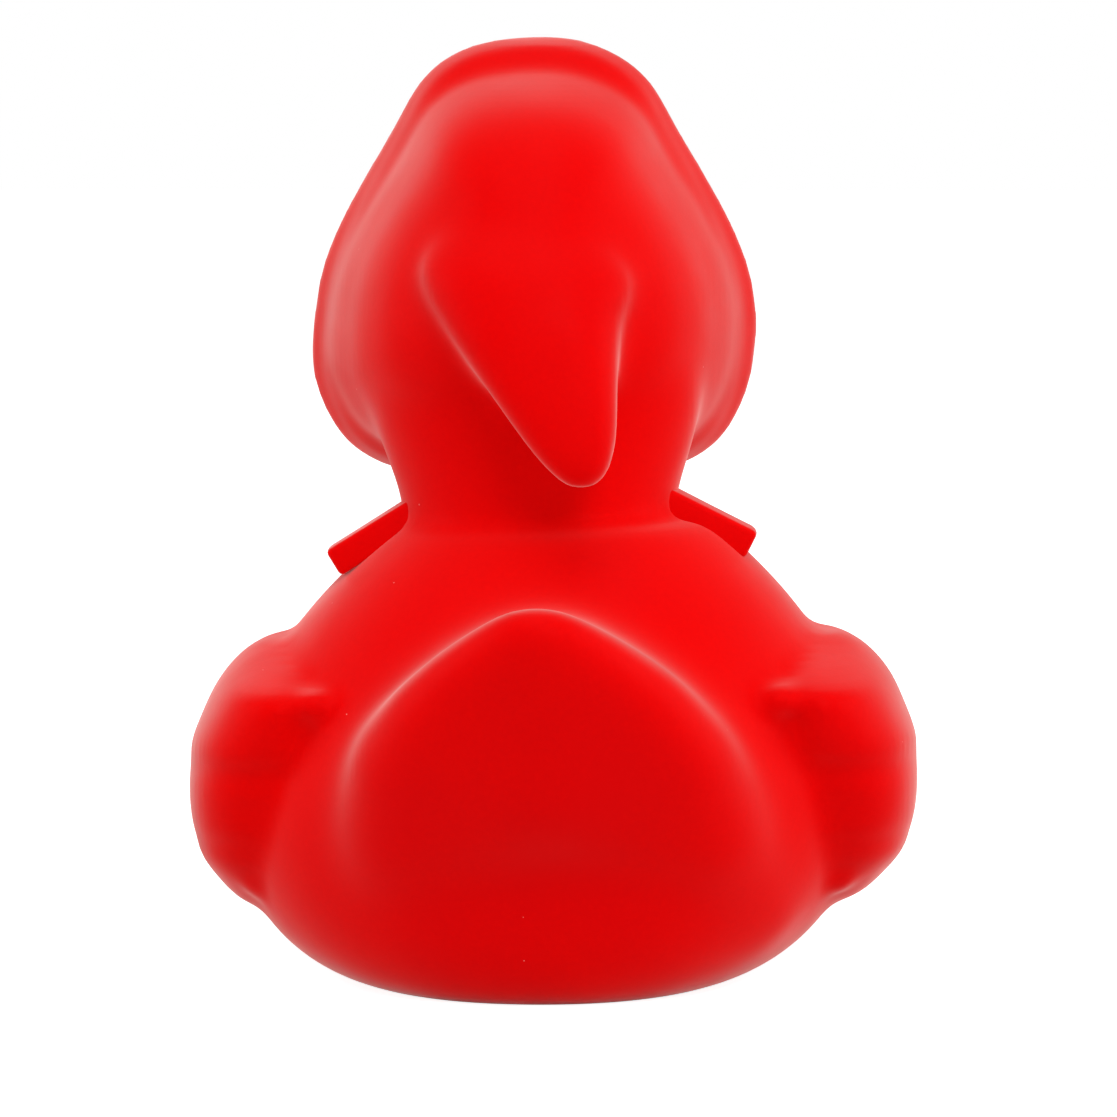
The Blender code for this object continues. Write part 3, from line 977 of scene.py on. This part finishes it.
@dataclass
class Peak:
    """The hood's peak, which folds over the crown and hangs down the back to the duck's right."""

    stations: Rows = (
        # height, left edge, right edge, back, thickness, squareness
        (0.0870, 0.0074, -0.0058, 0.0102, 0.0140, 2.0),
        (0.0840, 0.0098, -0.0084, 0.0143, 0.0160, 2.0),
        (0.0810, 0.0112, -0.0100, 0.0168, 0.0165, 2.1),
        (0.0785, 0.0120, -0.0110, 0.0186, 0.0165, 2.2),
        (0.0768, 0.0118, -0.0115, 0.0195, 0.0163, 2.3),
        (0.0750, 0.0110, -0.0111, 0.0202, 0.0155, 2.4),
        (0.0734, 0.0099, -0.0103, 0.0207, 0.0147, 2.6),
        (0.0718, 0.0088, -0.0100, 0.0212, 0.0137, 2.8),
        (0.0690, 0.0068, -0.0097, 0.0218, 0.0118, 3.0),
        (0.0645, 0.0035, -0.0096, 0.0225, 0.0096, 3.3),
        (0.0605, 0.0006, -0.0095, 0.0228, 0.0082, 3.3),
        (0.0580, -0.0014, -0.0090, 0.0228, 0.0072, 3.1),
        (0.0562, -0.0032, -0.0082, 0.0224, 0.0058, 2.8),
        (0.0552, -0.0044, -0.0070, 0.0216, 0.0038, 2.4),
    )
    station_steps: int = 4
    ring_points: int = 64

    def build(self) -> Object:
        """Draws the peak from its root, with the swelling on its right, to its tip.

        Returns:
            The closed peak.
        """
        places = spline([station[:3] for station in self.stations], self.station_steps)
        forms = spline([station[3:] for station in self.stations], self.station_steps)
        rings = []
        for (height, left, right), (back, thick, square) in zip(places, forms):
            centre = Vector(((left + right) / 2, back - thick / 2, height))
            ring = oval(self.ring_points, (left - right) / 2, thick / 2, square)
            rings.append([centre + point for point in ring])
        return Bench.skinned("peak", rings)


@dataclass
class Head:
    """The head under the hood's cloth: a neck that widens upwards into a dome, in level ovals."""

    shift: float = -0.0010
    front: float = 0.0148
    profile: Rows = (
        # height, half width, back
        (0.0440, 0.0149, 0.0110),
        (0.0505, 0.0150, 0.0112),
        (0.0540, 0.0156, 0.0111),
        (0.0575, 0.0168, 0.0113),
        (0.0620, 0.0180, 0.0120),
        (0.0670, 0.0184, 0.0130),
        (0.0720, 0.0174, 0.0140),
        (0.0770, 0.0150, 0.0140),
        (0.0820, 0.0110, 0.0110),
        (0.0860, 0.0060, 0.0060),
    )
    upright_height: float = 0.0770
    least_depth: float = 0.0004
    square: float = 2.1
    profile_steps: int = 3
    ring_points: int = 96

    def build(self) -> Object:
        """Draws the ovals from inside the shoulders up to the crown.

        Returns:
            The closed head.
        """
        rings = []
        foot, foot_half_width, _ = self.profile[0]
        for height, wide, back in spline(self.profile, self.profile_steps):
            share = max(0.0, self.upright_height - height) / (self.upright_height - foot)
            front = min(-self.front * min(1.0, wide / foot_half_width), back - self.least_depth)
            centre = (self.shift * share, (front + back) / 2, height)
            rings.append((centre, wide, (back - front) / 2))
        return stacked("head", rings, self.ring_points, self.square)


@dataclass
class Face:
    """What shows in the hood's opening: a plain round face, a bill and two painted eyes."""

    front: float = -0.0195
    radius: float = 0.0190
    depth: float = 0.0080
    height: float = 0.0715
    bill_length: float = 0.0125
    bill_half_width: float = 0.0092
    bill_height: float = 0.0665
    bill_thickness: float = 0.0040
    upper_bill: Rows = (
        # share of the way to the tip, distance back from there, height in thicknesses,
        # how much narrower than the bill, radius along y, and radius upwards in thicknesses
        (0.00, 0.0030, 0.30, 0.0000, 0.0040, 1.00),
        (0.45, 0.0000, 0.15, 0.0008, 0.0040, 0.65),
        (1.00, 0.0030, 0.20, 0.0022, 0.0030, 0.40),
    )
    lower_bill: Rows = (
        (0.00, 0.0030, -0.90, 0.0020, 0.0035, 0.65),
        (1.00, 0.0060, -0.60, 0.0034, 0.0030, 0.38),
    )
    bill_ease: int = 4
    eye_spread: float = 0.0080
    eye_height: float = 0.0770
    eye_size: Point = (0.0024, 0.0020, 0.0034)
    eye_sink: float = 0.5
    voxel: float = 0.0005
    crease: float = 50.0
    face_fineness: int = 6
    fineness: int = 5

    def face(self) -> Object:
        """Builds the ball of the face.

        Returns:
            The face.
        """
        centre = (0, self.front + self.depth, self.height)
        ball = Ball(centre, (self.radius, self.depth, self.radius), self.face_fineness)
        made = Bench.hull("face", [ball])
        Finish.YELLOW_PAINT.dress(made)
        return made

    def bill(self) -> list[Object]:
        """Builds the upper and the lower bill, a little apart.

        Returns:
            The two bills.
        """
        tip = self.front - self.bill_length
        wide, thick, high = self.bill_half_width, self.bill_thickness, self.bill_height
        made = []
        for name, rows in (("upper_bill", self.upper_bill), ("lower_bill", self.lower_bill)):
            balls = []
            for share, back, up, narrow, deep, tall in rows:
                centre = (0, lerp(self.front, tip, share) + back, high + up * thick)
                balls.append(Ball(centre, (wide - narrow, deep, tall * thick), self.fineness))
            bill = Bench.fused(name, [Bench.hull(name, balls)], 0, self.voxel, self.bill_ease)
            Finish.ORANGE_PAINT.dress(bill)
            made.append(bill)
        return made

    def eyes(self) -> list[Object]:
        """Builds one eye and copies it to the other side.

        Returns:
            The two eyes.
        """
        across = self.eye_spread / self.radius
        up = (self.eye_height - self.height) / self.radius
        fall = self.depth * (1 - math.sqrt(1 - across**2 - up**2))
        behind = self.front + fall + self.eye_sink * self.eye_size[1]
        place = (self.eye_spread, behind, self.eye_height)
        left = Bench.hull("eye_left", [Ball(place, self.eye_size, self.fineness)])
        Finish.BLACK_PAINT.dress(left)
        right = left.copy()
        right.data = left.data.copy()
        right.name = right.data.name = "eye_right"
        bpy.context.scene.collection.objects.link(right)
        with Bench.editing(right):
            bpy.ops.transform.translate(value=(-2 * self.eye_spread, 0, 0))
        return [left, right]

    def build(self, shift: float) -> list[Object]:
        """Builds all that shows in the opening.

        Args:
            shift: How far the head is from the body's middle.

        Returns:
            The pieces.
        """
        pieces = [self.face(), *self.bill(), *self.eyes()]
        for piece in pieces:
            with Bench.editing(piece):
                bpy.ops.transform.translate(value=(shift, 0, 0))
            Bench.smooth(piece, self.crease)
        return pieces


@dataclass
class Collar:
    """A flat board round the front of the neck, whose slanting ends show from behind."""

    outer: tuple[float, float] = (0.0238, 0.0284)
    inner: tuple[float, float] = (0.0112, 0.0118)
    outer_end: float = -6.0
    inner_end: float = -14.0
    thickness: float = 0.0032
    slope: float = 29.0
    tilt: float = 2.6
    height: float = 0.0476
    shift: float = -0.0012
    steps: int = 72
    edge: float = 0.0006
    edge_segments: int = 3
    crease: float = 40.0

    def section(self, share: float) -> list[Vector]:
        """Draws the board's section at one place on its way round the front.

        Args:
            share: 0 at the end on the duck's right, and 1 at the end on its left.

        Returns:
            The section's corners: top inner, top outer, bottom outer and bottom inner.
        """
        slope = math.radians(self.slope)
        places = []
        for reach, end in ((self.inner, self.inner_end), (self.outer, self.outer_end)):
            angle = math.pi + math.radians(lerp(end, 180 - end, share))
            places.append(Vector((reach[0] * math.cos(angle), reach[1] * math.sin(angle), 0)))
        inner, outer = places
        run = (outer - inner).length
        inner.z, outer.z = self.height + math.tan(slope) * run, self.height
        out = Vector((outer.x - inner.x, outer.y - inner.y, 0)) / run
        down = (out * -math.sin(slope) + Vector((0, 0, -math.cos(slope)))) * self.thickness
        return [inner, outer, outer + down, inner + down]

    def build(self) -> Object:
        """Draws the board's section round the neck and rounds its edges a little.

        Returns:
            The collar.
        """
        sections = [self.section(i / self.steps) for i in range(self.steps + 1)]
        made = Bench.skinned("collar", sections)
        turn = Matrix.Rotation(math.radians(self.tilt), 4, "Y")
        made.data.transform(Matrix.Translation((self.shift, 0, 0)) @ turn)
        limits = {"limit_method": "ANGLE", "angle_limit": math.radians(self.crease)}
        Bench.apply(made, "BEVEL", width=self.edge, segments=self.edge_segments, **limits)
        Bench.smooth(made, self.crease)
        Finish.RED_VINYL.dress(made)
        return made


@dataclass
class Duck:
    """The whole duck, sub-assembly by sub-assembly."""

    torso: Torso = field(default_factory=Torso)
    tail: Tail = field(default_factory=Tail)
    left_wing: Wing = field(
        default_factory=lambda: Wing(Side.LEFT, reach=0.0399, rise=0.0, foot=0.0382)
    )
    right_wing: Wing = field(
        default_factory=lambda: Wing(Side.RIGHT, reach=0.0406, rise=0.0008, foot=0.0386)
    )
    hood: Hood = field(default_factory=Hood)
    peak: Peak = field(default_factory=Peak)
    head: Head = field(default_factory=Head)
    face: Face = field(default_factory=Face)
    collar: Collar = field(default_factory=Collar)
    tail_fillet: float = 0.0060
    rim_fillet: float = 0.0014
    peak_fillet: float = 0.0008
    feather_fillet: float = 0.0005
    voxel: float = 0.0006
    body_ease: int = 36
    ease: int = 3
    base_sink: float = 0.0004
    cut_tolerance: float = 1e-6
    crease: float = 60.0

    def skin(self) -> Object:
        """Fuses the soft forms into one skin and cuts it flat where it stands.

        Returns:
            The duck's skin.
        """
        parts = [self.torso.build(), self.tail.build()]
        body = Bench.fused("body", parts, self.tail_fillet, self.voxel, self.body_ease)
        parts = [self.hood.build(), self.head.build()]
        hood = Bench.fused("hood", parts, self.rim_fillet, self.voxel, self.ease)
        parts = [hood, self.peak.build()]
        head = Bench.fused("head", parts, self.peak_fillet, self.voxel, self.ease)
        with Bench.editing(head):
            bpy.ops.transform.translate(value=(self.hood.shift, 0, 0))
        parts = [body, head, *self.left_wing.build(), *self.right_wing.build()]
        made = Bench.fused("duck_skin", parts, self.feather_fillet, self.voxel, self.ease)
        with Bench.editing(made):
            bpy.ops.mesh.bisect(
                plane_co=(0, 0, self.base_sink), plane_no=(0, 0, -1),
                use_fill=True, clear_outer=True, threshold=self.cut_tolerance,
            )
            bpy.ops.mesh.select_all(action="SELECT")
            bpy.ops.transform.translate(value=(0, 0, -self.base_sink))
        Bench.smooth(made, self.crease)
        Finish.RED_VINYL.dress(made)
        return made

    def build(self) -> list[Object]:
        """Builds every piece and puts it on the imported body.

        Returns:
            The pieces.
        """
        skin, collar = self.skin(), self.collar.build()
        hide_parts(CAD_NODE)
        pieces = [skin, collar, *self.face.build(self.hood.shift)]
        for piece in pieces:
            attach(piece, ROOT_BODY)
            triangles = sum(len(face.vertices) - 2 for face in piece.data.polygons)
            LOG.info("%s: %d triangles", piece.name, triangles)
        return pieces


# ---- the studio


@dataclass(frozen=True)
class Lamp:
    """A soft square lamp, with its side and its power in watts."""

    name: str
    place: Point
    size: float
    power: float
    aim: Point = (0.0, 0.0, 0.05)

    def hang(self) -> None:
        """Hangs the lamp in its place and turns it to its aim."""
        bpy.ops.object.light_add(type="AREA", location=self.place)
        made = bpy.context.object
        made.name = self.name
        made.data.size = self.size
        made.data.energy = self.power
        made.rotation_mode = "QUATERNION"
        made.rotation_quaternion = (Vector(self.aim) - Vector(self.place)).to_track_quat("-Z", "Y")


@dataclass
class Studio:
    """The camera behind the duck, the pale floor and the soft light."""

    aim: Point = (-0.00085, 0.0, 0.0455)
    distance: float = 0.6
    azimuth: float = 181.1
    elevation: float = 5.5
    frame_width: float = 0.12288
    sensor: float = 36.0
    clip_start: float = 0.01
    floor_size: float = 6.0
    floor_colour: Colour = (0.72, 0.72, 0.72)
    floor_roughness: float = 0.9
    floor_glow: float = 0.88
    world_light: float = 0.27
    lamps: tuple[Lamp, ...] = (
        Lamp("key", (-0.28, 0.82, 0.62), 0.4, 3.2),
        Lamp("fill", (-0.10, 0.95, 0.10), 0.5, 0.5, aim=(0.0, 0.0, 0.04)),
        Lamp("front", (0.15, -0.90, 0.45), 0.6, 1.0),
        Lamp("top", (0.0, 0.30, 1.00), 0.6, 3.2),
        Lamp("left_panel", (0.85, 0.10, 0.35), 0.6, 3.0),
        Lamp("right_panel", (-0.85, 0.10, 0.35), 0.6, 3.2),
    )

    def back(self) -> Vector:
        """The direction from the aim to the camera."""
        a, e = math.radians(self.azimuth), math.radians(self.elevation)
        return Vector((math.sin(a) * math.cos(e), -math.cos(a) * math.cos(e), math.sin(e)))

    def camera(self) -> None:
        """Sets up the camera at the photograph's angle."""
        bpy.ops.object.camera_add(location=Vector(self.aim) + self.back() * self.distance)
        made = bpy.context.object
        made.name = "camera"
        made.rotation_mode = "QUATERNION"
        made.rotation_quaternion = (-self.back()).to_track_quat("-Z", "Y")
        made.data.sensor_width = self.sensor
        made.data.lens = self.sensor * self.distance / self.frame_width
        made.data.clip_start = self.clip_start
        bpy.context.scene.camera = made

    @staticmethod
    def seen(nodes: Nodes) -> Socket:
        """Tells the rays that look at a surface from those that carry its light to the duck.

        Args:
            nodes: The material's or the world's nodes.

        Returns:
            1 for the camera and what is mirrored or seen through, and 0 for all else.
        """
        rays = nodes.add("ShaderNodeLightPath").outputs
        direct = nodes.math("MAXIMUM", rays["Is Camera Ray"], rays["Is Transmission Ray"])
        return nodes.math("MAXIMUM", direct, rays["Is Glossy Ray"])

    def floor(self) -> None:
        """Lays a wide pale floor that keeps the duck's shadow."""
        bpy.ops.mesh.primitive_plane_add(size=self.floor_size)
        made = Bench.named(bpy.context.object, "floor")
        paper = bpy.data.materials.new("pale_floor")
        paper.use_nodes = True
        shader = paper.node_tree.nodes["Principled BSDF"]
        nodes = Nodes(paper.node_tree)
        for label, value in (
            ("Base Color", (*self.floor_colour, 1)),
            ("Roughness", self.floor_roughness),
            ("Specular IOR Level", 0.0),
            ("Emission Color", (1, 1, 1, 1)),
            ("Emission Strength", nodes.math("MULTIPLY", self.seen(nodes), self.floor_glow)),
        ):
            nodes.fill(shader.inputs[label], value)
        made.data.materials.append(paper)

    def world(self) -> None:
        """Surrounds the duck with soft white light."""
        world = bpy.data.worlds.new("studio")
        bpy.context.scene.world = world
        world.use_nodes = True
        nodes = Nodes(world.node_tree)
        ends = {"To_Min": self.world_light, "To_Max": 1.0}
        level = nodes.add("ShaderNodeMapRange", Value=self.seen(nodes), **ends)
        background = world.node_tree.nodes["Background"]
        background.inputs["Color"].default_value = (1, 1, 1, 1)
        nodes.fill(background.inputs["Strength"], level.outputs[0])

    def build(self) -> None:
        """Sets up the whole studio."""
        self.camera()
        self.floor()
        self.world()
        for lamp in self.lamps:
            lamp.hang()
        bpy.context.scene.view_settings.view_transform = "Standard"


def main() -> None:
    """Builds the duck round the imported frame, then the studio."""
    logging.basicConfig(level=logging.INFO, format="%(name)s: %(message)s")
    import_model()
    pieces = Duck().build()
    Studio().build()
    LOG.info("%d pieces", len(pieces))


if __name__ == "__main__":
    main()
